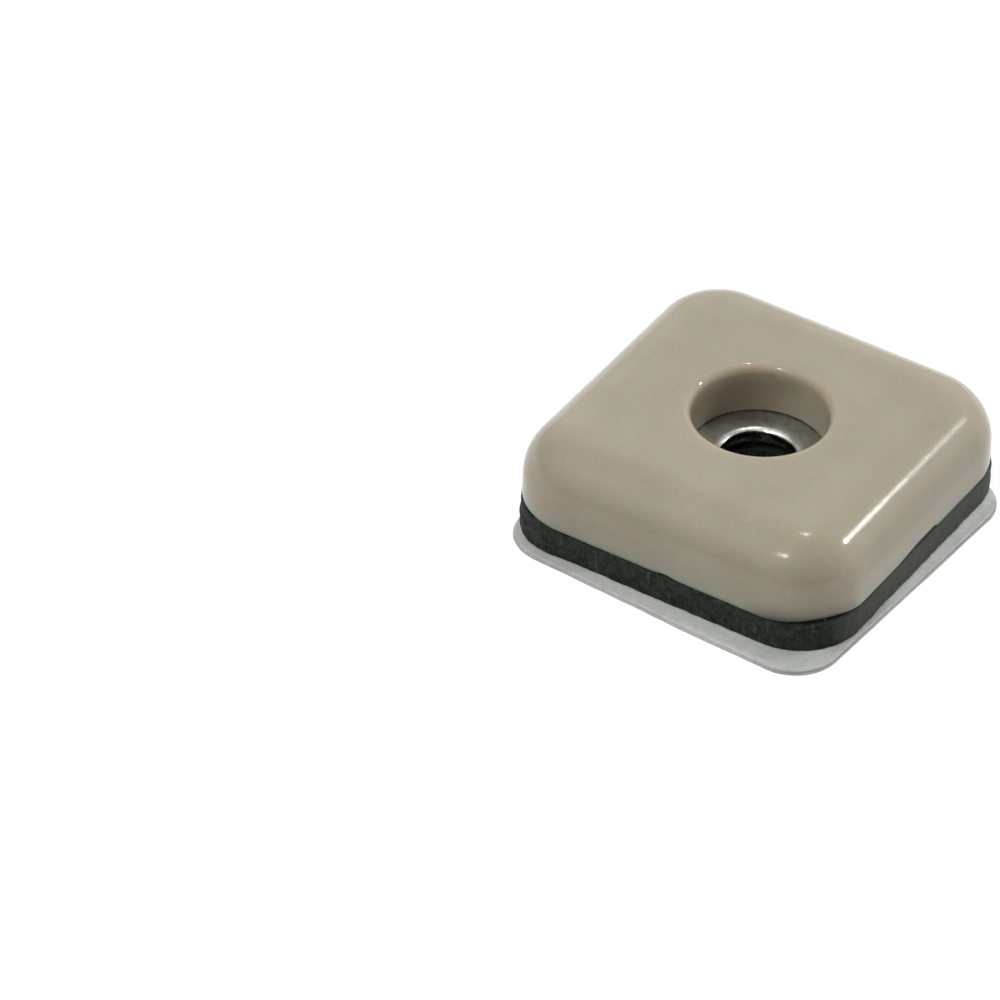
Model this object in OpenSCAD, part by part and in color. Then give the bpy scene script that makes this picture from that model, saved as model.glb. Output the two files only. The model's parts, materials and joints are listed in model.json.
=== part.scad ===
// Square stick-on and screw-on furniture slider, lying on its release liner with the glide face up.
// The Z axis is the screw's axis, and Z = 0 is the underside of the liner.

/* [Glide cap] */
// Width of the square cap at its foot
cap_w = 25.4; // [22:0.1:40]
// Height of the cap from its foot to the glide face
cap_h = 5.3; // [5:0.1:10]
// Radius of the cap's corners at its foot, seen from above
cap_corner_r = 5; // [4.5:0.1:8]
// Radius of the rolled edge between the walls and the glide face
cap_roll_r = 3.8; // [1:0.1:4]
// Lean of the walls towards the glide face, in degrees
cap_draft = 1; // [0:0.5:5]

/* [Screw recess] */
// Diameter of the recess that takes the screw's head
recess_d = 9.2; // [8:0.1:12]
// Depth of the recess from the glide face down to the washer
recess_depth = 3.7; // [2.5:0.1:3.9]
// Radius of the rounded rim at the mouth of the recess
rim_r = 0.6; // [0.2:0.1:1]
// Diameter of the hole through the web under the washer
web_hole_d = 6.5; // [5.6:0.1:7.5]

/* [Washer] */
// Diameter of the washer's bore
washer_bore_d = 5; // [4.2:0.1:5.4]
// Thickness of the washer
washer_t = 0.9; // [0.7:0.1:1]
// Radius of the rolled upper edge of the washer's bore
washer_roll_r = 0.3; // [0.1:0.05:0.6]
// Radius of the rolled upper edge of the washer's outside
washer_edge_r = 0.15; // [0.05:0.05:0.3]
// How far the washer's edge is moulded into the wall of the recess
washer_lap = 0.2; // [0.1:0.05:0.5]
// Clearance round and over the washer's edge in its groove
washer_gap = 0.1; // [0.02:0.01:0.2]

/* [Rubber pad] */
// How far the pad stays back from the foot of the cap all round
pad_inset = 0.05; // [-0.2:0.05:0.2]
// Radius of the pad's corners
pad_corner_r = 4.7; // [3:0.1:8]
// Thickness of the pad
pad_t = 2; // [1:0.05:5]
// Diameter of the screw hole through the pad
pad_hole_d = 5; // [4.8:0.1:6.5]
// How far the pad is glued off the cap's centre, along X
pad_shift_x = 0.15; // [-0.3:0.05:0.3]
// How far the pad is glued off the cap's centre, along Y
pad_shift_y = -0.2; // [-0.3:0.05:0.3]

/* [Bond film] */
// Thickness of the glue film between cap and pad
bond_t = 0.1; // [0.05:0.05:0.3]
// How far the film stays back from the foot of the cap
bond_inset = 0.6; // [0.5:0.1:3]

/* [Adhesive patch and liner] */
// How far the double-sided patch is cut smaller than the cap all round
patch_inset = 0.3; // [-0.5:0.1:2]
// Radius of the patch's corners
patch_corner_r = 3.2; // [1:0.1:6]
// Thickness of the patch
patch_t = 0.2; // [0.05:0.05:1]
// Diameter of the screw hole punched through the patch
patch_hole_d = 5; // [4.8:0.1:6.5]
// How far the patch is stuck off the screw's axis, along X
patch_shift_x = 1; // [-2.5:0.05:2.5]
// How far the patch is stuck off the screw's axis, along Y
patch_shift_y = -1.6; // [-2.5:0.05:2.5]
// Turn of the patch against the cap, in degrees
patch_turn = -3; // [-6:0.1:6]
// How far the liner stands out past the patch all round
liner_margin = 0.1; // [0:0.05:2]
// Thickness of the liner
liner_t = 0.1; // [0.05:0.05:0.5]

/* [Hidden] */
$fn = 96;

// Overrun of every cut past the face that it opens
overrun = 1;

// Levels of the stack, from the liner up
patch_z = liner_t;
pad_z = patch_z + patch_t;
bond_z = pad_z + pad_t;
cap_z = bond_z + bond_t;

// Levels inside the cap, from its foot
recess_floor = cap_h - recess_depth - washer_t;
roll_z = cap_h - cap_roll_r;

// How far the centre of the rolled edge lies inside the foot of the wall
roll_in = roll_z * tan(cap_draft) + cap_roll_r / cos(cap_draft);

// Where the four corner axes of the cap stand
corner_at = cap_w / 2 - cap_corner_r;

// Widths of the layers under the cap
bond_w = cap_w - 2 * bond_inset;
pad_w = cap_w - 2 * pad_inset;
patch_w = cap_w - 2 * patch_inset;
liner_w = patch_w + 2 * liner_margin;

recess_r = recess_d / 2;
washer_r = recess_r + washer_lap;
groove_r = washer_r + washer_gap;
washer_bore_r = washer_bore_d / 2;

// A square with round corners, centred on the origin
module rounded_square(w, r) {
    square([w, w - 2 * r], center = true);
    square([w - 2 * r, w], center = true);
    for (x = [-1, 1], y = [-1, 1])
        translate([x, y] * (w / 2 - r)) circle(r);
}

// A flat sheet of the square above, with its underside on Z = 0
module rounded_plate(w, r, t) {
    linear_extrude(t) rounded_square(w, r);
}

// A hole on the screw's axis through a sheet that lies between the levels z and z + t
module screw_hole(d, z, t) {
    translate([0, 0, z - overrun]) cylinder(d = d, h = t + 2 * overrun);
}

// Half of the cap's section: leaning wall and rolled edge, from an axis out to the foot of the wall
module cap_section(reach) {
    roll_x = reach - roll_in;
    intersection() {
        union() {
            polygon([
                [0, 0],
                [reach, 0],
                [roll_x + cap_roll_r * cos(cap_draft), roll_z + cap_roll_r * sin(cap_draft)],
                [roll_x, roll_z],
                [roll_x, cap_h],
                [0, cap_h]
            ]);
            translate([roll_x, roll_z]) circle(cap_roll_r);
        }
        square([reach, cap_h]);
    }
}

// The cap before it is bored: one section swept along each wall and turned round each corner
module cap_block() {
    for (side = [0:90:270])
        rotate(side) {
            rotate([90, 0, 0]) linear_extrude(2 * corner_at, center = true) cap_section(cap_w / 2);
            translate([corner_at, corner_at, 0]) rotate_extrude(angle = 90) cap_section(cap_corner_r);
        }
}

// Half of the recess's section: the washer's groove, the wall, and a mouth that flares over the rim
module recess_section() {
    translate([0, recess_floor]) square([groove_r, washer_t + washer_gap]);
    translate([0, recess_floor]) square([recess_r, washer_t + recess_depth + overrun]);
    difference() {
        translate([recess_r, cap_h - rim_r]) square([rim_r, rim_r + overrun]);
        translate([recess_r + rim_r, cap_h - rim_r]) circle(rim_r);
    }
}

// Half of the washer's section: a punched ring with rolled upper edges
module washer_section() {
    roll_at = washer_bore_r + washer_roll_r;
    edge_at = washer_r - washer_edge_r;
    intersection() {
        square([washer_r, washer_t]);
        union() {
            translate([washer_bore_r, 0]) square([washer_r - washer_bore_r, washer_t - washer_roll_r]);
            translate([roll_at, 0]) square([washer_r - roll_at, washer_t - washer_edge_r]);
            translate([roll_at, 0]) square([edge_at - roll_at, washer_t]);
            translate([roll_at, washer_t - washer_roll_r]) circle(washer_roll_r);
            translate([edge_at, washer_t - washer_edge_r]) circle(washer_edge_r);
        }
    }
}

// Moulded low-friction cap, with the recess, the washer's groove and the web under it
module glide_cap() {
    color("#aba08c") translate([0, 0, cap_z]) difference() {
        cap_block();
        rotate_extrude() recess_section();
        screw_hole(web_hole_d, 0, recess_floor);
    }
}

// Steel washer that takes the pull of the screw's head, moulded in over the web
module steel_washer() {
    color("#8f8b86") translate([0, 0, cap_z + recess_floor]) rotate_extrude() washer_section();
}

// Glue film between the cap and the rubber
module bond_film() {
    color("#4a463e") difference() {
        translate([0, 0, bond_z]) rounded_plate(bond_w, cap_corner_r - bond_inset, bond_t);
        screw_hole(web_hole_d, bond_z, bond_t);
    }
}

// Rubber cushion, cut from sheet
module rubber_pad() {
    color("#2e3230") difference() {
        translate([pad_shift_x, pad_shift_y, pad_z]) rounded_plate(pad_w, pad_corner_r, pad_t);
        screw_hole(pad_hole_d, pad_z, pad_t);
    }
}

// Double-sided patch that sticks the slider to a chair leg
module adhesive_patch() {
    color("#c9cbc8") difference() {
        translate([patch_shift_x, patch_shift_y, patch_z])
            rotate(patch_turn) rounded_plate(patch_w, patch_corner_r, patch_t);
        screw_hole(patch_hole_d, patch_z, patch_t);
    }
}

// Paper that covers the patch until it is used
module release_liner() {
    color("#d8d9d5") translate([patch_shift_x, patch_shift_y, 0])
        rotate(patch_turn) rounded_plate(liner_w, patch_corner_r + liner_margin, liner_t);
}

glide_cap();
steel_washer();
bond_film();
rubber_pad();
adhesive_patch();
release_liner();
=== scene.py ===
import json
import math

import bpy
import bmesh
from mathutils import Matrix, Quaternion, Vector, noise


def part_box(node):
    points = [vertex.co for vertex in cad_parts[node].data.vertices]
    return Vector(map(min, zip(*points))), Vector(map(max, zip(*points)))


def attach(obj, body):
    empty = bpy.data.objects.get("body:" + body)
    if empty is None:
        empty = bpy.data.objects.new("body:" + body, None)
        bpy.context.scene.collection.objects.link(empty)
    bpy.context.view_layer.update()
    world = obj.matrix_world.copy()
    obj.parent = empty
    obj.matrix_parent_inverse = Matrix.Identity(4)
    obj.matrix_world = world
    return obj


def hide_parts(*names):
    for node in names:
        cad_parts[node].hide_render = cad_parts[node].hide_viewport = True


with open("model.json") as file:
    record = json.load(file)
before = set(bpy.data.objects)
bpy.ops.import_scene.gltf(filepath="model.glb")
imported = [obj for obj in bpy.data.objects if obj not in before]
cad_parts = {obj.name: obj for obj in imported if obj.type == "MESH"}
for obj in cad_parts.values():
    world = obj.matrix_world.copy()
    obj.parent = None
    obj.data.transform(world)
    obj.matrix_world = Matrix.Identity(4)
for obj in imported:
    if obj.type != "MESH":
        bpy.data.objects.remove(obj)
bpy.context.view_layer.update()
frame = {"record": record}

# Lengths below are in millimetres, in the part's own frame.
MM = 0.001


def box_mm(node):
    """Lowest and highest corner of a CAD node."""
    return [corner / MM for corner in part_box(node)]


def bore_mm(mount):
    """Radius of a bore mount."""
    return next(m["dims"]["r_mm"] for m in frame["record"]["mounts"] if m["name"] == mount)


cap_low, cap_high = box_mm("glide_cap")
CAP_HALF = cap_high.x
CAP_Z = cap_low.z
CAP_H = cap_high.z - cap_low.z
CAP_CORNER = 5.0
CAP_ROLL = 3.8
CAP_DRAFT = math.radians(1)
RECESS_R = bore_mm("head_recess")
RECESS_RIM = 0.6
WEB_HOLE_R = 3.25

washer_low, washer_high = box_mm("steel_washer")
WASHER_Z = washer_low.z
WASHER_T = washer_high.z - washer_low.z
WASHER_R = washer_high.x
WASHER_BORE_R = bore_mm("screw_hole")
WASHER_ROLL = 0.3
WASHER_DRAWN = 0.55
WASHER_EDGE = 0.15
WASHER_GAP = 0.1

film_low, film_high = box_mm("bond_film")
FILM_HALF = film_high.x
FILM_CORNER = CAP_CORNER - (CAP_HALF - FILM_HALF)

pad_low, pad_high = box_mm("rubber_pad")
PAD_T = pad_high.z - pad_low.z
PAD_HALF = (pad_high.x - pad_low.x) / 2
PAD_CORNER = 4.7
PAD_AT = (pad_low + pad_high) / 2
PAD_HOLE_R = 2.5

patch_low, patch_high = box_mm("adhesive_patch")
liner_low, liner_high = box_mm("release_liner")
PATCH_CORNER = 3.2
PATCH_TURN = math.radians(-3)
PATCH_HOLE_R = 2.5
LINER_MARGIN = 0.1


def turned_half(low, high, corner):
    """Half the side of a square with round corners that is turned as the patch is, from its box."""
    spread = math.cos(PATCH_TURN) + abs(math.sin(PATCH_TURN))
    return ((high.x - low.x) / 2 - corner) / spread + corner


PATCH_HALF = turned_half(patch_low, patch_high, PATCH_CORNER)
PATCH_AT = (patch_low + patch_high) / 2


def smooth_step(t):
    t = min(1.0, max(0.0, t))
    return t * t * (3 - 2 * t)


def hump(at, centre, half_width):
    """1 at the centre, falling smoothly to 0 at half_width away from it."""
    return smooth_step(1 - abs(at - centre) / half_width)


def window(at, start, rise, end, fall):
    """1 between start and end, with a smooth rise after the start and a smooth fall before the end."""
    return smooth_step((at - start) / rise) * smooth_step((end - at) / fall)


def bearing(x, y):
    """Direction of a point from the screw's axis, in degrees from +X towards +Y."""
    return math.degrees(math.atan2(y, x))


def humps(angle, places):
    """Sum of the humps of a list of (bearing, half width in degrees, size)."""
    return sum(size * hump(angle, place, width) for place, width, size in places)


def grain(x, y, z, wavelength, seed=0.0):
    """Smooth noise from -1 to 1 at a point, the same on every run."""
    return noise.noise(Vector((x, y, z)) / wavelength + Vector((seed, -seed, 0.37 * seed)))


# Outlines and lofted meshes


def square_outline(half, corner, side_steps, corner_steps):
    """(x, y, outward x, outward y) round a square with round corners, anticlockwise from the +X side."""
    straight = half - corner
    points = []
    for c, s in ((1, 0), (0, 1), (-1, 0), (0, -1)):
        edge = [(half, straight * (2 * i / side_steps - 1), 1.0, 0.0) for i in range(side_steps)]
        for i in range(corner_steps):
            u, v = math.cos(math.pi / 2 * i / corner_steps), math.sin(math.pi / 2 * i / corner_steps)
            edge.append((straight + corner * u, straight + corner * v, u, v))
        points += [(c * x - s * y, s * x + c * y, c * u - s * v, s * u + c * v) for x, y, u, v in edge]
    return points


def inset_ring(outline, inset, z):
    """The outline pulled in by inset, at height z. Each is a number, or a list with one for each point."""
    insets = inset if isinstance(inset, list) else [inset] * len(outline)
    heights = z if isinstance(z, list) else [z] * len(outline)
    return [(x - u * i, y - v * i, h) for (x, y, u, v), i, h in zip(outline, insets, heights)]


def circle_ring(outline, radius, z):
    """A circle on the screw's axis, with its points in line with the outline's."""
    ring = []
    for x, y, _, _ in outline:
        a = math.atan2(y, x)
        ring.append((radius * math.cos(a), radius * math.sin(a), z))
    return ring


def between(ring_a, ring_b, steps):
    """The rings that lie between two others, without these."""
    return [
        [tuple(p + (q - p) * k / steps for p, q in zip(a, b)) for a, b in zip(ring_a, ring_b)]
        for k in range(1, steps)
    ]


def arc(start, end, steps):
    """Angles from start to end, in degrees, both included, as radians."""
    return [math.radians(start + (end - start) * k / steps) for k in range(steps + 1)]


def loft(name, rings, closed=True, sharp=45):
    """A smooth mesh through rings of equal length, joined last to first, or else closed at both ends."""
    count = len(rings[0])
    bm = bmesh.new()
    rows = [[bm.verts.new(Vector(p) * MM) for p in ring] for ring in rings]
    pairs = list(zip(rows, rows[1:] + rows[:1])) if closed else list(zip(rows, rows[1:]))
    for low, high in pairs:
        for i in range(count):
            j = (i + 1) % count
            bm.faces.new((low[i], low[j], high[j], high[i]))
    for row in () if closed else (rows[0], rows[-1]):
        hub = bm.verts.new(sum((v.co for v in row), Vector()) / count)
        for i in range(count):
            bm.faces.new((row[i], row[(i + 1) % count], hub))
    bmesh.ops.recalc_face_normals(bm, faces=bm.faces)
    mesh = bpy.data.meshes.new(name)
    bm.to_mesh(mesh)
    bm.free()
    mesh.polygons.foreach_set("use_smooth", [True] * len(mesh.polygons))
    mesh.set_sharp_from_angle(angle=math.radians(sharp))
    piece = bpy.data.objects.new(name, mesh)
    bpy.context.scene.collection.objects.link(piece)
    return piece


def ripple(piece, depth, wavelength, seed, where):
    """Moves the points that where(x, y, z) picks along their normals, by smooth noise of that depth."""
    for v in piece.data.vertices:
        x, y, z = v.co / MM
        if where(x, y, z):
            v.co += v.normal * (grain(x, y, z, wavelength, seed) * depth * MM)
    piece.data.update()


def dress(piece, node, body, material):
    """Puts a piece in the place of its CAD node."""
    piece.data.materials.append(material)
    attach(piece, body)
    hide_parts(node)


# Materials


class Nodes:
    """Short calls for a node tree. An input that is given a socket is linked to it."""

    def __init__(self, tree):
        self.tree = tree

    def feed(self, socket, value):
        if isinstance(value, bpy.types.NodeSocket):
            self.tree.links.new(value, socket)
        else:
            socket.default_value = value

    def add(self, kind, attributes=None, inputs=None):
        made = self.tree.nodes.new(kind)
        for key, value in (attributes or {}).items():
            setattr(made, key, value)
        for key, value in (inputs or {}).items():
            self.feed(made.inputs[key], value)
        return made

    def noise(self, place, scale, detail=3.0, rough=0.55):
        inputs = {"Vector": place, "Scale": scale, "Detail": detail, "Roughness": rough}
        return self.add("ShaderNodeTexNoise", None, inputs).outputs["Fac"]

    def vector(self, operation, a, b=(0, 0, 0), output="Vector"):
        return self.add("ShaderNodeVectorMath", {"operation": operation}, {0: a, 1: b}).outputs[output]

    def from_axis(self, place):
        """Distance of a place from the screw's axis."""
        return self.vector("LENGTH", self.vector("MULTIPLY", place, (1, 1, 0)), output="Value")

    def split(self, vector):
        return self.add("ShaderNodeSeparateXYZ", None, {0: vector}).outputs

    def grey(self, value):
        return self.add("ShaderNodeCombineColor", None, {0: value, 1: value, 2: value}).outputs[0]

    def ramp(self, value, *stops):
        """A colour ramp through (position, colour or grey) stops."""
        made = self.add("ShaderNodeValToRGB", None, {"Fac": value})
        elements = made.color_ramp.elements
        while len(elements) < len(stops):
            elements.new(0.5)
        for element, (position, colour) in zip(elements, stops):
            element.position = position
            element.color = (*colour, 1) if isinstance(colour, tuple) else (colour, colour, colour, 1)
        return made.outputs["Color"]

    def mix(self, factor, a, b, blend="MIX"):
        made = self.add("ShaderNodeMix", {"data_type": "RGBA", "blend_type": blend})
        for index, value in ((0, factor), (6, a), (7, b)):
            self.feed(made.inputs[index], (*value, 1) if isinstance(value, tuple) else value)
        return made.outputs[2]

    def math(self, operation, a, b=0.0):
        return self.add("ShaderNodeMath", {"operation": operation}, {0: a, 1: b}).outputs[0]

    def span(self, value, low, high, to_low, to_high):
        inputs = {"Value": value, "From Min": low, "From Max": high, "To Min": to_low, "To Max": to_high}
        return self.add("ShaderNodeMapRange", None, inputs).outputs[0]

    def bump(self, height, strength, distance, normal=None):
        inputs = {"Height": height, "Strength": strength, "Distance": distance * MM}
        if normal is not None:
            inputs["Normal"] = normal
        return self.add("ShaderNodeBump", None, inputs).outputs["Normal"]


def new_material(name, **sockets):
    """(material, its nodes, its shader, object coordinates in millimetres)"""
    material = bpy.data.materials.new(name)
    material.use_nodes = True
    shader = next(n for n in material.node_tree.nodes if n.type == "BSDF_PRINCIPLED")
    for key, value in sockets.items():
        shader.inputs[key.replace("_", " ")].default_value = value
    nodes = Nodes(material.node_tree)
    coordinates = nodes.add("ShaderNodeTexCoord").outputs["Object"]
    scaled = nodes.add("ShaderNodeVectorMath", {"operation": "SCALE"}, {0: coordinates, "Scale": 1 / MM})
    return material, nodes, shader, scaled.outputs[0]


def link(nodes, shader, **sockets):
    for key, socket in sockets.items():
        nodes.tree.links.new(socket, shader.inputs[key.replace("_", " ")])


# Painted shade on the cap's foot, where it meets the rubber: where on the foot it is darkest, its reach along
# the foot, height, strength and colour
FOOT_SHADE_AT = (10.4, -11.4, CAP_Z)
FOOT_SHADE_REACH = 4.2
FOOT_SHADE_H = 1.7
FOOT_SHADE_STRENGTH = 0.9
FOOT_SHADE_COLOUR = (0.030, 0.032, 0.022)
# Painted shade in the recess, darker deeper down and most on the -X side: its tint, and where it fades below
# the face, along X and outwards
RECESS_SHADE_TINT = (0.86, 0.78, 0.73)
RECESS_SHADE_DEPTH = (0.5, 1.6)
RECESS_SHADE_X = (-4.4, 2.5)
RECESS_SHADE_IN = (0.02, 0.3)
# The rim of the recess isn't worn: its roughness as a share of the worn plastic's, and its end, in rim widths
RIM_SHINE = 0.5
RIM_END = 1.5


def cap_plastic():
    """Beige moulded plastic, faintly translucent, with a satin gloss, a moulded grain, painted shade at its
    foot and painted shade in the recess.
    """
    material, n, shader, place = new_material(
        "cap_plastic", IOR=1.4,
        Subsurface_Weight=1.0, Subsurface_Radius=(2.6, 1.1, 0.75), Subsurface_Scale=1.0 * MM)
    cloud = n.noise(place, 0.22, 3, 0.5)
    speckle = n.noise(place, 4.0, 4, 0.7)
    base = n.ramp(cloud, (0.3, (0.370, 0.337, 0.255)), (0.7, (0.400, 0.368, 0.283)))
    pigment = n.ramp(speckle, (0.35, 0.93), (0.65, 1.0))
    parts = n.split(place)
    height = parts["Z"]
    # Painted shade: the foot is darkened towards its bottom, most near the front corner.
    away = n.vector("DISTANCE", place, FOOT_SHADE_AT, "Value")
    low = n.math("POWER", n.span(height, CAP_Z, CAP_Z + FOOT_SHADE_H, 1.0, 0.0), 2.0)
    foot_shade = n.math("MULTIPLY", low, n.span(away, FOOT_SHADE_REACH / 2, FOOT_SHADE_REACH, FOOT_SHADE_STRENGTH, 0.0))
    radius = n.from_axis(place)
    # Painted shade: the recess wall darkens deeper down, most on its -X side.
    inside = n.span(radius, RECESS_R + RECESS_SHADE_IN[0], RECESS_R + RECESS_SHADE_IN[1], 1.0, 0.0)
    deep = n.span(height, cap_high.z - RECESS_SHADE_DEPTH[0], cap_high.z - RECESS_SHADE_DEPTH[1], 0.0, 1.0)
    stain_and_shade = n.math("MULTIPLY", n.math("MULTIPLY", inside, deep), n.span(parts["X"], *RECESS_SHADE_X, 1.0, 0.0))
    off_rim = n.span(radius, RECESS_R + RECESS_RIM, RECESS_R + RIM_END * RECESS_RIM, 0.0, 1.0)
    below_rim = n.span(height, cap_high.z - RECESS_RIM, cap_high.z - RIM_END * RECESS_RIM, 0.0, 1.0)
    worn = n.math("MAXIMUM", off_rim, below_rim)
    satin = n.span(n.noise(place, 0.9, 4, 0.6), 0.3, 0.7, 0.13, 0.18)
    gloss = n.math("MULTIPLY", satin, n.span(worn, 0.0, 1.0, RIM_SHINE, 1.0))
    orange_peel = n.bump(n.math("MULTIPLY", n.noise(place, 1.6, 2, 0.5), worn), 0.12, 0.02)
    moulded = n.bump(n.math("MULTIPLY", n.noise(place, 4.0, 3, 0.6), worn), 0.6, 0.010, orange_peel)
    clean = n.mix(1.0, base, pigment, "MULTIPLY")
    recess_shaded = n.mix(stain_and_shade, clean, n.mix(1.0, clean, RECESS_SHADE_TINT, "MULTIPLY"))
    link(n, shader, Base_Color=n.mix(foot_shade, recess_shaded, FOOT_SHADE_COLOUR), Roughness=gloss, Normal=moulded)
    return material


# The washer's burnished roll, and the painted shade that darkens its bore: where each fades, outwards from
# the bore
BURNISHED = (0.25, 0.75)
BORE_SHADE = (0.06, 0.14)


def washer_steel():
    """Dull punched steel with fine rings, stains, a burnished roll round the bore, and painted shade
    darkening the bore.
    """
    material, n, shader, place = new_material("washer_steel", Metallic=1.0)
    radius = n.from_axis(place)
    rings = n.noise(n.add("ShaderNodeCombineXYZ", None, {"X": radius}).outputs[0], 9.0, 3, 0.6)
    stain_and_shade = n.noise(place, 1.6, 5, 0.7)
    patches = n.noise(place, 1.4, 4, 0.65)
    roll = n.span(radius, WASHER_BORE_R + BURNISHED[0], WASHER_BORE_R + BURNISHED[1], 1.0, 0.0)
    dull = n.ramp(stain_and_shade, (0.3, (0.27, 0.26, 0.22)), (0.7, (0.46, 0.45, 0.41)))
    bright = n.math("MULTIPLY", roll, n.span(patches, 0.35, 0.6, 0.35, 1.0))
    rubbed = n.mix(bright, dull, (0.80, 0.79, 0.76))
    # Painted shade: the bore is painted near-black, with grey patches.
    bore_shade = n.ramp(patches, (0.45, (0.02, 0.02, 0.02)), (0.68, (0.22, 0.23, 0.22)))
    bore = n.span(radius, WASHER_BORE_R + BORE_SHADE[0], WASHER_BORE_R + BORE_SHADE[1], 1.0, 0.0)
    rough = n.math("SUBTRACT", n.span(rings, 0.3, 0.7, 0.38, 0.5), n.math("MULTIPLY", roll, 0.2))
    link(n, shader, Base_Color=n.mix(bore, rubbed, bore_shade), Roughness=rough, Normal=n.bump(rings, 0.25, 0.02))
    return material


# How far from the middle of the bead the glue's pale colour fades
BEAD_PALE = (0.1, 0.4)


def contact_glue(bead):
    """Dark contact glue with dried streaks, gone pale in the bead that was squeezed out."""
    material, n, shader, place = new_material("contact_glue", IOR=1.45)
    streak = n.noise(place, 0.8, 4, 0.6)
    away = n.vector("DISTANCE", place, bead, "Value")
    dark = n.ramp(streak, (0.35, (0.012, 0.011, 0.009)), (0.7, (0.05, 0.045, 0.036)))
    link(n, shader,
         Base_Color=n.mix(n.span(away, *BEAD_PALE, 1.0, 0.0), dark, (0.20, 0.21, 0.19)),
         Roughness=n.span(streak, 0.3, 0.7, 0.3, 0.6),
         Normal=n.bump(streak, 0.4, 0.03))
    return material


# Painted sheen on the rubber's +X side, a pale tint for the light it catches there: how far in it fades,
# where it grows along Y, and how pale it is there
SHEEN_IN = (0.7, 0.2)
SHEEN_Y = (-9.0, -3.0)
SHEEN_TINT = (0.025, 0.055)


def pad_rubber():
    """Dark cut rubber: blotches, pale crumbs and upright cut marks on a dry, porous side, and painted sheen
    on its +X side.
    """
    material, n, shader, place = new_material("pad_rubber", IOR=1.5, Specular_IOR_Level=0.2)
    blotch = n.noise(place, 2.0, 4, 0.65)
    crumb = n.noise(place, 5.0, 4, 0.7)
    upright = n.vector("MULTIPLY", place, (2.4, 2.4, 0.4))
    parts = n.split(place)
    # Painted sheen: the +X side is painted paler, more so towards +Y.
    side = n.span(parts["X"], pad_high.x - SHEEN_IN[0], pad_high.x - SHEEN_IN[1], 0.0, 1.0)
    sheen = n.math("MULTIPLY", side, n.span(parts["Y"], *SHEEN_Y, *SHEEN_TINT))
    fresh = n.ramp(blotch, (0.36, (0.003, 0.006, 0.003)), (0.64, (0.028, 0.036, 0.028)))
    base = n.mix(1.0, fresh, n.grey(sheen), "ADD")
    dust_and_shading = n.mix(n.ramp(crumb, (0.52, 0.0), (0.72, 0.5)), base, (0.085, 0.105, 0.085))
    marks = n.ramp(n.noise(upright, 1.6, 5, 0.7), (0.58, 0.0), (0.68, 0.45))
    pores = n.bump(crumb, 0.7, 0.08)
    sawn = n.bump(n.noise(upright, 3.0, 3, 0.6), 0.5, 0.06, pores)
    link(n, shader,
         Base_Color=n.mix(marks, dust_and_shading, (0.10, 0.125, 0.10)),
         Roughness=n.span(blotch, 0.3, 0.7, 0.62, 0.8),
         Normal=sawn)
    return material


# Painted light and shade along the papers' border on the -Y side: (X, lightness)
FRONT_TONE = ((-8.0, 0.79), (-3.0, 0.95), (3.0, 0.975), (8.0, 0.90), (11.0, 0.70))
# Painted light on the +X side: where along Y it sets in, how much lighter it is then, and more so, how far,
# by the rubber
RIGHT_LIT_Y = (-9.0, -2.5)
LIT_RIGHT = 0.10
LIT_BESIDE = 0.42
LIT_REACH = 0.65
# Under the rubber the papers get none of this painted light and shade: how light they are there, and how far
# in from its sides that sets in
COVERED_TONE = 0.95
COVERED_IN = (0.4, 1.6)


def paper(name, light, dark, edge):
    """Pale coated paper with fibres and clouds, with painted light and shade on its border, lightest beside
    the rubber, and on its cut edge.
    """
    material, n, shader, place = new_material(name, IOR=1.45)
    fibre = n.noise(n.vector("MULTIPLY", place, (1.0, 1.8, 1.0)), 2.4, 5, 0.7)
    cloud = n.noise(place, 0.5, 3, 0.6)
    parts = n.split(place)
    start, end = FRONT_TONE[0][0], FRONT_TONE[-1][0]
    stops = [((x - start) / (end - start), tone) for x, tone in FRONT_TONE]
    # Painted light and shade along the -Y border.
    front = n.ramp(n.span(parts["X"], start, end, 0.0, 1.0), *stops)
    # Painted light: the +X border is painted lighter, most beside the rubber.
    brightest = LIT_RIGHT + LIT_BESIDE
    beside = n.span(parts["X"], pad_high.x, pad_high.x + LIT_REACH, brightest, LIT_RIGHT)
    right = n.math("MULTIPLY", n.span(parts["Y"], *RIGHT_LIT_Y, 0.0, 1.0), beside)
    behind = n.span(parts["Y"], pad_low.y + COVERED_IN[0], pad_low.y + COVERED_IN[1], 0.0, 1.0)
    left = n.span(parts["X"], pad_high.x - COVERED_IN[0], pad_high.x - COVERED_IN[1], 0.0, 1.0)
    covered = n.math("MULTIPLY", behind, left)
    level = n.span(covered, 0.0, 1.0, n.math("ADD", front, right), COVERED_TONE)
    # Painted light and shade on the cut edge, which faces sideways, scaled by edge.
    facing = n.split(n.add("ShaderNodeNewGeometry").outputs["Normal"])["Z"]
    dust_and_shading = n.math("MULTIPLY", level, n.span(n.math("ABSOLUTE", facing), 0.3, 0.8, edge, 1.0))
    sheet = n.mix(n.span(fibre, 0.3, 0.7, 0.0, 1.0), dark, light)
    clouded = n.mix(1.0, sheet, n.ramp(cloud, (0.3, 0.92), (0.7, 1.0)), "MULTIPLY")
    link(n, shader,
         Base_Color=n.mix(1.0, clouded, n.grey(dust_and_shading), "MULTIPLY"),
         Roughness=n.span(cloud, 0.3, 0.7, 0.5, 0.65),
         Normal=n.bump(fibre, 0.4, 0.03))
    return material


# The cap: one section lofted round the square, over the rolled edge, across the face and down the recess

CAP_OUTLINE = square_outline(CAP_HALF, CAP_CORNER, 80, 30)
ROLL_Z = CAP_H - CAP_ROLL
ROLL_IN = ROLL_Z * math.tan(CAP_DRAFT) + CAP_ROLL / math.cos(CAP_DRAFT)
WEB_T = WASHER_Z - CAP_Z

# The foot of the wall: the radius of its edge, how far it reaches down past the glue, and the sole inside it
FOOT_EDGE = 0.1
FOOT_LIP = 0.08
SOLE_IN = 0.25
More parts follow.
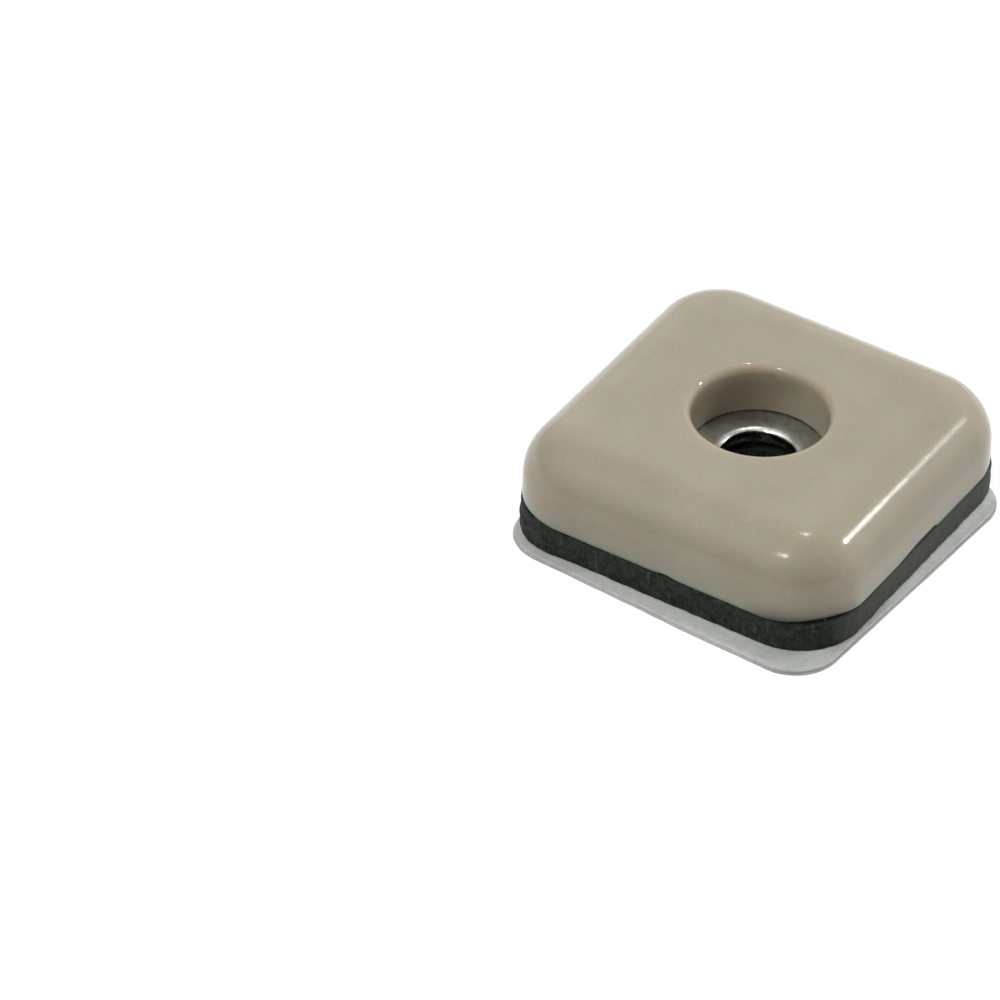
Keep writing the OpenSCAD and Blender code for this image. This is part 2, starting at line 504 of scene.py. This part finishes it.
# Where the foot is worn round: (bearing, half width in degrees, radius)
FOOT_WORN = [(-43.0, 13.0, 0.5), (-152.0, 14.0, 0.3)]
# Where the foot is short: (start, rise, end and fall in degrees, height)
FOOT_SHORT = [(-14.0, 12.0, 9.2, 1.6, 0.24), (-92.0, 4.0, -83.0, 4.0, 0.14)]
# Unevenness of the foot, and sink marks above it: depth and wavelength, and where the marks begin
FOOT_WAVER, FOOT_WAVER_LENGTH = 0.015, 1.3
SINK, SINK_LENGTH = 0.012, 7.0
SINK_FROM = CAP_Z + 1.0
SINK_R = RECESS_R - 0.05


def cap_rings():
    bearings = [bearing(x, y) for x, y, _, _ in CAP_OUTLINE]
    edge = [FOOT_EDGE + humps(a, FOOT_WORN) for a in bearings]
    short = [sum(size * window(a, *span) for *span, size in FOOT_SHORT) for a in bearings]
    waver = [FOOT_WAVER * grain(x, y, 0, FOOT_WAVER_LENGTH, 4.0) for x, y, _, _ in CAP_OUTLINE]
    foot = [s - FOOT_LIP + w for s, w in zip(short, waver)]
    lean = math.tan(CAP_DRAFT)

    hole = circle_ring(CAP_OUTLINE, WEB_HOLE_R, 0)
    sole = inset_ring(CAP_OUTLINE, [e + SOLE_IN for e in edge], 0)
    rings = [hole, *between(hole, sole, 6), sole]
    for a in arc(0, 90, 6):
        z = [f + e * (1 - math.cos(a)) for f, e in zip(foot, edge)]
        inset = [e * (1 - math.sin(a)) + h * lean for e, h in zip(edge, z)]
        rings.append(inset_ring(CAP_OUTLINE, inset, z))
    for k in range(1, 6):
        z = [f + e + (ROLL_Z - f - e) * k / 6 for f, e in zip(foot, edge)]
        rings.append(inset_ring(CAP_OUTLINE, [h * lean for h in z], z))
    for a in arc(1, 90, 20):
        z = ROLL_Z + CAP_ROLL * math.sin(a)
        rings.append(inset_ring(CAP_OUTLINE, ROLL_IN - CAP_ROLL * math.cos(a), z))

    mouth = circle_ring(CAP_OUTLINE, RECESS_R + RECESS_RIM, CAP_H)
    rings += [*between(rings[-1], mouth, 8), mouth]
    for a in arc(0, 90, 8)[1:]:
        radius = RECESS_R + RECESS_RIM * (1 - math.sin(a))
        rings.append(circle_ring(CAP_OUTLINE, radius, CAP_H - RECESS_RIM * (1 - math.cos(a))))
    ledge = WEB_T + WASHER_T + WASHER_GAP
    wall_foot = circle_ring(CAP_OUTLINE, RECESS_R, ledge)
    rings += [*between(rings[-1], wall_foot, 7), wall_foot]
    groove = WASHER_R + WASHER_GAP
    for radius, z in ((groove, ledge), (groove, WEB_T), (WEB_HOLE_R, WEB_T)):
        rings.append(circle_ring(CAP_OUTLINE, radius, z))
    return [[(x, y, z + CAP_Z) for x, y, z in ring] for ring in rings]


cap = loft("cap_moulding", cap_rings())
ripple(cap, SINK, SINK_LENGTH, 1.0, lambda x, y, z: z > SINK_FROM and math.hypot(x, y) > SINK_R)
dress(cap, "glide_cap", "slider", cap_plastic())


# The washer, turned from its section

WASHER_STEPS = 120
# Chamfer under the bore, and the height of a ring on its straight wall
WASHER_BURR = 0.05
WASHER_SHEAR = 0.35
# Dents of the pressing: depth and wavelength, from which height they are, and out to which radius
DENT, DENT_LENGTH = 0.02, 2.2
DENT_FROM = WASHER_Z + 0.3
DENT_R = RECESS_R - 0.2


def washer_section():
    """From the outer edge along the underside, up the bore, over its drawn edge and out along the top."""
    drawn_at = WASHER_BORE_R + WASHER_DRAWN
    edge_at = WASHER_R - WASHER_EDGE
    roll_z, edge_z = WASHER_T - WASHER_ROLL, WASHER_T - WASHER_EDGE
    points = [(WASHER_R, 0.0), (WASHER_BORE_R + WASHER_BURR, 0.0)]
    points += [(WASHER_BORE_R, WASHER_BURR), (WASHER_BORE_R, WASHER_SHEAR)]
    for a in arc(0, 90, 12):
        points.append((drawn_at - WASHER_DRAWN * math.cos(a), roll_z + WASHER_ROLL * math.sin(a)))
    points += [(drawn_at + (edge_at - drawn_at) * k / 5, WASHER_T) for k in range(1, 6)]
    for a in arc(0, 90, 4)[1:]:
        points.append((edge_at + WASHER_EDGE * math.sin(a), edge_z + WASHER_EDGE * math.cos(a)))
    return points


def turned(section, steps, z):
    angles = [2 * math.pi * i / steps for i in range(steps)]
    return [[(r * math.cos(a), r * math.sin(a), z + h) for a in angles] for r, h in section]


washer = loft("washer_pressing", turned(washer_section(), WASHER_STEPS, WASHER_Z))
ripple(washer, DENT, DENT_LENGTH, 2.0, lambda x, y, z: z > DENT_FROM and math.hypot(x, y) < DENT_R)
dress(washer, "steel_washer", "slider", washer_steel())


# The glue film, with an edge that wanders, and one bead of glue that was squeezed out at the worn corner

FILM_OUTLINE = square_outline(FILM_HALF, FILM_CORNER, 40, 64)
# How far the film's edge wanders, over what length, and how far out it is on the whole
FILM_WANDER, FILM_WANDER_LENGTH = 0.2, 3.0
FILM_OUT = 0.05
# How far the edge draws back at the underside, at the crown of the bead and behind it
FILM_BACK = (0.04, 0.05, 0.6)
# The bead: bearing and half width in degrees, how far it stands out of the film, and up
BEAD = (-42.5, 0.8)
BEAD_OUT = 0.42
BEAD_UP = 0.06


def film_rings():
    bead = [hump(bearing(x, y), *BEAD) for x, y, _, _ in FILM_OUTLINE]
    wander = [FILM_WANDER * grain(x, y, 0, FILM_WANDER_LENGTH, 6.0) - FILM_OUT for x, y, _, _ in FILM_OUTLINE]
    inset = [w - BEAD_OUT * b for w, b in zip(wander, bead)]
    low, high = film_low.z, film_high.z
    crown = [high + BEAD_UP * b for b in bead]
    middle = [(low + c) / 2 for c in crown]
    foot_back, crown_back, top_back = FILM_BACK
    edge = [inset_ring(FILM_OUTLINE, [i + back for i in inset], z)
            for back, z in ((foot_back, low), (0.0, middle), (crown_back, crown), (top_back, high))]
    return [circle_ring(FILM_OUTLINE, WEB_HOLE_R, low), *edge, circle_ring(FILM_OUTLINE, WEB_HOLE_R, high)]


def bead_place():
    """The tip of the bead."""
    x, y, _, _ = max(FILM_OUTLINE, key=lambda point: hump(bearing(point[0], point[1]), *BEAD))
    reach = math.hypot(x, y) + BEAD_OUT
    a = math.radians(BEAD[0])
    return reach * math.cos(a), reach * math.sin(a), film_high.z


film = loft("glue_film", film_rings())
dress(film, "bond_film", "slider", contact_glue(bead_place()))


# The rubber pad, cut from sheet: a ragged side between two flat skins

PAD_OUTLINE = square_outline(PAD_HALF, PAD_CORNER, 90, 44)
# Levels of the side as shares of its height, close together at the skins
PAD_LEVEL_SHARES = (0, 0.015, *[0.05 + 0.9 * k / 16 for k in range(17)], 0.985, 1)

# Roughness of the cut, coarse and fine, and how its sides bow: depth and wavelength
PAD_CUT, PAD_CUT_LENGTH = 0.045, 0.55
PAD_NICK, PAD_NICK_LENGTH = 0.03, 0.25
PAD_BOW, PAD_BOW_LENGTH = 0.05, 5.0
# Cut marks run upright: how much slower the fine roughness changes with height
PAD_NICK_RISE = 0.4
# The skins' depth, and how far the side is rounded off at the lower and the upper one
PAD_SKIN = 0.12
PAD_ROUND_LOW, PAD_ROUND_HIGH = 0.09, 0.07
# Where the cut slants, so that the side stands out below and draws back above: (bearing, half width, out)
PAD_SLANT = [(-129.0, 11.0, 0.16)]
# The slant: the height at which it turns, over what height, and by what share of its depth
SLANT_TURN, SLANT_TURN_H, SLANT_SHARE = 0.85, 0.35, 1.3
# Crumbs of rubber that stand out of the side: (bearing, half width, height, out), and half their height
PAD_CRUMBS = [
    (-137.0, 2.0, 0.9, 0.08),
    (-78.0, 1.2, 0.3, 0.1),
    (-33.0, 1.5, 1.8, 0.1),
    (20.0, 1.8, 0.3, 0.1),
]
CRUMB_HALF = 0.35
# Torn wall of the punched hole: depth and wavelength
PAD_TEAR, PAD_TEAR_LENGTH = 0.04, 0.6


def pad_out(x, y, level):
    """How far the cut side stands out of the outline at a height on it."""
    angle = bearing(x, y)
    cut = PAD_CUT * grain(x, y, level, PAD_CUT_LENGTH, 9.0)
    cut += PAD_NICK * grain(x, y, level * PAD_NICK_RISE, PAD_NICK_LENGTH, 12.0)
    bow = PAD_BOW * grain(x, y, 0, PAD_BOW_LENGTH, 15.0)
    turn = SLANT_SHARE * smooth_step((level - SLANT_TURN) / SLANT_TURN_H)
    slant = humps(angle, PAD_SLANT) * (1.0 - turn)
    crumbs = 0.0
    for place, width, height, out in PAD_CRUMBS:
        crumbs += out * hump(angle, place, width) * hump(level, height, CRUMB_HALF)
    rounding = PAD_ROUND_LOW * max(0.0, 1 - level / PAD_SKIN) ** 2
    rounding += PAD_ROUND_HIGH * max(0.0, 1 - (PAD_T - level) / PAD_SKIN) ** 2
    return cut + bow + slant + crumbs - rounding


def pad_rings():
    shifted = [(x + PAD_AT.x, y + PAD_AT.y, u, v) for x, y, u, v in PAD_OUTLINE]
    side = []
    for share in PAD_LEVEL_SHARES:
        level = PAD_T * share
        side.append(inset_ring(shifted, [-pad_out(x, y, level) for x, y, _, _ in shifted], pad_low.z + level))
    low = circle_ring(shifted, PAD_HOLE_R, pad_low.z)
    high = circle_ring(shifted, PAD_HOLE_R, pad_high.z)
    under, over, hole = between(low, side[0], 4), between(side[-1], high, 4), between(high, low, 6)
    return [low, *under, *side, *over, high, *hole]


def in_pad_hole(x, y, z):
    """Whether a point is on the wall of the hole, between the skins."""
    return math.hypot(x, y) < PAD_HOLE_R + PAD_TEAR and pad_low.z < z < pad_high.z


pad = loft("rubber_cushion", pad_rings(), sharp=60)
ripple(pad, PAD_TEAR, PAD_TEAR_LENGTH, 3.0, in_pad_hole)
dress(pad, "rubber_pad", "slider", pad_rubber())


# The double-sided patch and its liner: thin sheets, cut by hand, whose free border isn't quite flat

PATCH_OUTLINE = square_outline(PATCH_HALF, PATCH_CORNER, 80, 24)

# How far the cut bows out on the -Y side, where along it, and half the length of the bow
CUT_BOW = 0.08
CUT_BOW_AT, CUT_BOW_HALF = 3.0, 6.0
# Roughness of the cut, coarse and fine: depth and wavelength
RAGGED, RAGGED_LENGTH = 0.03, 1.5
FRAY, FRAY_LENGTH = 0.015, 0.4
# Rings of the free border, by their distance from the cut
SHEET_BORDER = (2.4, 1.6, 0.9, 0.4)
# The cut edge, from below: (inset, share of the thickness)
SHEET_EDGE_SHARES = ((0.02, 0.0), (0.0, 0.25), (0.01, 0.6), (0.0, 0.85), (0.03, 1.0))
# The patch's lift off the liner: height, wavelength, where it begins past the rubber, half its front length
LIFT, LIFT_LENGTH = 0.045, 3.0
LIFT_FROM_RIGHT, LIFT_FROM_FRONT = 0.1, 0.3
LIFT_FRONT_HALF = 3.5
# The liner has no hole. This is the ring round its middle
LINER_HUB_R = 0.3


def patch_place(x, y):
    """Where a point of the square that the patch was cut from lies on the slider."""
    y -= CUT_BOW * hump(x, CUT_BOW_AT, CUT_BOW_HALF) * max(0.0, -y / PATCH_HALF)
    c, s = math.cos(PATCH_TURN), math.sin(PATCH_TURN)
    return c * x - s * y + PATCH_AT.x, s * x + c * y + PATCH_AT.y


def border_lift(x, y):
    """How far the patch's free border has come off the liner."""
    right = min(1.0, max(0.0, x - pad_high.x - LIFT_FROM_RIGHT))
    front = min(1.0, max(0.0, pad_low.y - LIFT_FROM_FRONT - y)) * hump(x, 0.0, LIFT_FRONT_HALF)
    return LIFT * max(right, front) * (1.2 + grain(x, y, 0, LIFT_LENGTH, 21.0))


def sheet_rings(margin, bottom, thick, hole_r, lift):
    """Rings of a sheet, from its hole or centre along the underside, up its edge and back along the top."""
    coarse = [RAGGED * grain(x, y, 0, RAGGED_LENGTH, 18.0 + 40 * margin) for x, y, _, _ in PATCH_OUTLINE]
    fine = [FRAY * grain(x, y, 0, FRAY_LENGTH, 31.0) for x, y, _, _ in PATCH_OUTLINE]
    ragged = [c + f for c, f in zip(coarse, fine)]

    def laid(inset, height):
        flat = inset_ring(PATCH_OUTLINE, [inset - margin - r for r in ragged], 0)
        placed = [patch_place(x, y) for x, y, _ in flat]
        return [(x, y, bottom + height + lift * border_lift(x, y)) for x, y in placed]

    rim = [(x, y, 0.0, 0.0) for x, y, _ in laid(0, 0)]
    hole, hole_top = circle_ring(rim, hole_r, bottom), circle_ring(rim, hole_r, bottom + thick)
    under = [laid(inset, 0) for inset in SHEET_BORDER]
    edge = [laid(inset, share * thick) for inset, share in SHEET_EDGE_SHARES]
    over = [laid(inset, thick) for inset in reversed(SHEET_BORDER)]
    middle, middle_top = between(hole, under[0], 5), between(over[-1], hole_top, 5)
    return [hole, *middle, *under, *edge, *over, *middle_top, hole_top]


patch_t, liner_t = patch_high.z - patch_low.z, liner_high.z - liner_low.z
patch = loft("tape_patch", sheet_rings(0.0, patch_low.z, patch_t, PATCH_HOLE_R, 1.0))
# Painted light: the patch's cut edge is painted lighter than its face.
tissue_tape = paper("tissue_tape", (0.73, 0.745, 0.715), (0.565, 0.575, 0.55), 1.15)
dress(patch, "adhesive_patch", "slider", tissue_tape)

liner = loft("liner_paper", sheet_rings(LINER_MARGIN, liner_low.z, liner_t, LINER_HUB_R, 0.0), closed=False)
# Painted shade: the liner's cut edge is painted darker than its face.
liner_paper = paper("liner_paper", (0.60, 0.60, 0.565), (0.48, 0.48, 0.455), 0.72)
dress(liner, "release_liner", "liner", liner_paper)


# Floor, light and camera, in metres

FLOOR_HALF = 2.0
FLOOR_Z = -0.02 * MM
# The table's grey where it lights the object, its grey where it is seen, and the glow that is added there
TABLE_GREY = 0.55
SEEN_GREY = 0.3
SEEN_GLOW = 0.8


def make_floor():
    """A white table. Where it is seen, it glows up to plain white and keeps a faint shadow."""
    mesh = bpy.data.meshes.new("floor")
    corners = [(x * FLOOR_HALF, y * FLOOR_HALF, FLOOR_Z) for x, y in ((-1, -1), (1, -1), (1, 1), (-1, 1))]
    mesh.from_pydata(corners, [], [(0, 1, 2, 3)])
    floor = bpy.data.objects.new("floor", mesh)
    bpy.context.scene.collection.objects.link(floor)
    material = bpy.data.materials.new("white_table")
    material.use_nodes = True
    material.node_tree.nodes.clear()
    n = Nodes(material.node_tree)
    path = n.add("ShaderNodeLightPath").outputs
    seen = n.math("MAXIMUM", path["Is Camera Ray"], path["Is Glossy Ray"])
    seen = n.math("MAXIMUM", seen, path["Is Transmission Ray"])
    table, shaded = [
        n.add("ShaderNodeBsdfDiffuse", None, {"Color": (grey, grey, grey, 1)}).outputs[0]
        for grey in (TABLE_GREY, SEEN_GREY)
    ]
    glow = n.add("ShaderNodeEmission", None, {"Color": (1, 1, 1, 1), "Strength": SEEN_GLOW}).outputs[0]
    white = n.add("ShaderNodeAddShader", None, {0: shaded, 1: glow}).outputs[0]
    surface = n.add("ShaderNodeMixShader", None, {0: seen, 1: table, 2: white}).outputs[0]
    n.add("ShaderNodeOutputMaterial", None, {"Surface": surface})
    floor.data.materials.append(material)


def towards(azimuth, elevation):
    """Unit vector to a place on the sky, in degrees from +X towards +Y and up from the table."""
    a, e = math.radians(azimuth), math.radians(elevation)
    return Vector((math.cos(a) * math.cos(e), math.sin(a) * math.cos(e), math.sin(e)))


# Soft glows of the studio tent: azimuth and elevation in degrees, strength at the middle
TENT_GLOWS = {
    "overhead": (0, 90, 0.46),
    "high_left": (240, 50, 2.02),
    "high_right": (60, 50, 0.15),
    "high_back": (120, 50, 0.12),
    "right": (45, 18, 1.68),
    "back_right": (90, 18, 0.4),
    "back": (135, 18, 0.85),
    "front_left": (270, 18, 0.1),
}
GLOW_FOCUS = 6.0


def make_tent():
    world = bpy.data.worlds.new("tent")
    bpy.context.scene.world = world
    world.use_nodes = True
    world.node_tree.nodes.clear()
    n = Nodes(world.node_tree)
    way = n.add("ShaderNodeTexCoord").outputs["Generated"]
    total = 0.0
    for azimuth, elevation, strength in TENT_GLOWS.values():
        facing = n.vector("DOT_PRODUCT", way, towards(azimuth, elevation), "Value")
        glow = n.math("POWER", n.math("MAXIMUM", facing, 0.0), GLOW_FOCUS)
        total = n.math("ADD", n.math("MULTIPLY", glow, strength), total)
    background = n.add("ShaderNodeBackground", None, {"Color": (1, 1, 1, 1), "Strength": total}).outputs[0]
    n.add("ShaderNodeOutputWorld", None, {"Surface": background})


# Small lamps, seen as highlights: way to the lamp, way of its long side, length and width in metres, watts
LAMP_AWAY = 0.6
LAMPS = {
    "lamp_right": ((0.545, 0.630, 0.553), (-0.7, 0.0, 0.7), 0.05, 0.03, 0.70),
    "lamp_back": ((-0.088, 0.341, 0.936), (0.6, -0.73, 0.33), 0.07, 0.027, 0.24),
    "lamp_left": ((-0.03, -0.525, 0.85), (1.0, 0.0, 0.0), 0.05, 0.05, 0.33),
    "lamp_left_soft": ((-0.13, -0.54, 0.83), (0.96, 0.16, 0.13), 0.12, 0.08, 0.26),
}


def make_lamps():
    for name, (way, side, length, width, watts) in LAMPS.items():
        light = bpy.data.lights.new(name, "AREA")
        light.shape = "RECTANGLE"
        light.size, light.size_y, light.energy = length, width, watts
        lamp = bpy.data.objects.new(name, light)
        bpy.context.scene.collection.objects.link(lamp)
        away = Vector(way).normalized()
        along = (Vector(side) - away * away.dot(Vector(side))).normalized()
        lamp.location = away * LAMP_AWAY
        lamp.rotation_mode = "QUATERNION"
        lamp.rotation_quaternion = Matrix((along, away.cross(along), away)).transposed().to_quaternion()
        lamp.visible_camera = False


CAMERA_AT = Vector((189.568, -341.815, 314.270)) * MM
CAMERA_AIM = Vector((-14.053, -9.605, 0.0)) * MM
CAMERA_ROLL = math.radians(1.89)
CAMERA_LENS = 270.83


def make_camera():
    data = bpy.data.cameras.new("camera")
    data.lens, data.sensor_width = CAMERA_LENS, 36.0
    data.clip_start, data.clip_end = 0.01, 20.0
    camera = bpy.data.objects.new("camera", data)
    bpy.context.scene.collection.objects.link(camera)
    camera.location = CAMERA_AT
    camera.rotation_mode = "QUATERNION"
    aim = (CAMERA_AIM - CAMERA_AT).to_track_quat("-Z", "Y")
    camera.rotation_quaternion = aim @ Quaternion((0, 0, 1), CAMERA_ROLL)
    bpy.context.scene.camera = camera


make_floor()
make_tent()
make_lamps()
make_camera()
bpy.context.scene.view_settings.view_transform = "Standard"
